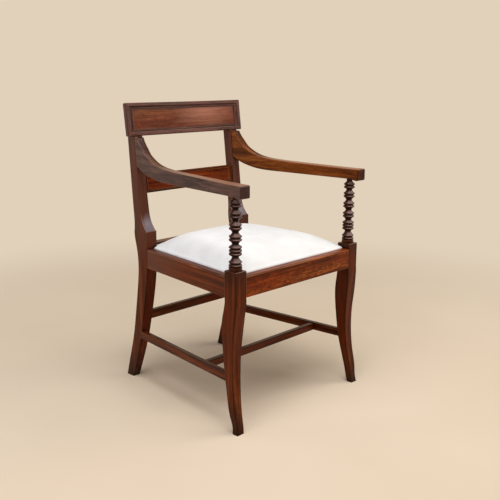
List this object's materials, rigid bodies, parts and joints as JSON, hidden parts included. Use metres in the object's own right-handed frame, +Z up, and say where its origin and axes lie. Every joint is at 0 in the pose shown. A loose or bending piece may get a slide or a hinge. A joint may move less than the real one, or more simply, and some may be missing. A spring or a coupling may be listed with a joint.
{
  "type": "carver chair",
  "caption": "Wooden carver chair with sabre legs, ring-turned arm supports, a panelled crest and mid rail, stretchers, and an upholstered drop-in seat that lifts out.",
  "frame": {"origin": "on the floor, under the middle of the chair's overall box", "axes": "+Z up, the chair faces -Y, +X to the right of someone who faces its front"},
  "size_m": [0.5282, 0.565, 0.8597],
  "materials": {
    "mahogany": "polished mahogany, worn on the arrises",
    "mahogany_dark": "dark polished mahogany",
    "mahogany_figured": "figured mahogany, redder and lighter",
    "beech": "bare, sawn and planed",
    "screw_steel": "dull, slotted",
    "jute_webbing": "coarse woven jute",
    "hessian": "open plain weave",
    "horsehair": "curled hair under wadding",
    "calico": "plain undyed cotton weave",
    "tack_iron": "blued"
  },
  "bodies": {
    "chair_frame": {"arm_left": "mahogany", "arm_right": "mahogany", "arm_screw_plugs": "mahogany", "arm_screws": "screw_steel", "back_leg_left": "mahogany_dark", "back_leg_right": "mahogany_dark", "corner_block_back_left": "beech", "corner_block_back_right": "beech", "corner_block_front_left": "beech", "corner_block_front_right": "beech", "corner_block_screws": "screw_steel", "crest_moulding_bottom": "mahogany_dark", "crest_moulding_left": "mahogany_dark", "crest_moulding_right": "mahogany_dark", "crest_moulding_top": "mahogany_dark", "crest_panel": "mahogany_figured", "crest_rail": "mahogany", "crest_screws": "screw_steel", "cross_stretcher": "mahogany", "front_leg_left": "mahogany_dark", "front_leg_right": "mahogany_dark", "mid_rail": "mahogany", "mid_rail_moulding_bottom": "mahogany_dark", "mid_rail_moulding_left": "mahogany_dark", "mid_rail_moulding_right": "mahogany_dark", "mid_rail_moulding_top": "mahogany_dark", "mid_rail_panel": "mahogany_figured", "rear_stretcher": "mahogany", "seat_rail_back": "mahogany", "seat_rail_front": "mahogany_figured", "seat_rail_left": "mahogany", "seat_rail_right": "mahogany", "side_stretcher_left": "mahogany", "side_stretcher_right": "mahogany"},
    "drop_in_seat": {"cover_tacks": "tack_iron", "seat_cover": "calico", "seat_frame_back": "beech", "seat_frame_front": "beech", "seat_frame_left": "beech", "seat_frame_right": "beech", "seat_hessian": "hessian", "seat_stuffing": "horsehair", "webbing_crosswise": "jute_webbing", "webbing_lengthwise": "jute_webbing"}
  },
  "joints": [
    {"name": "seat_lift", "type": "slide", "parent": "chair_frame", "child": "drop_in_seat", "axis": [0, 0, 1], "range_m": [0, 0.15]}
  ]
}
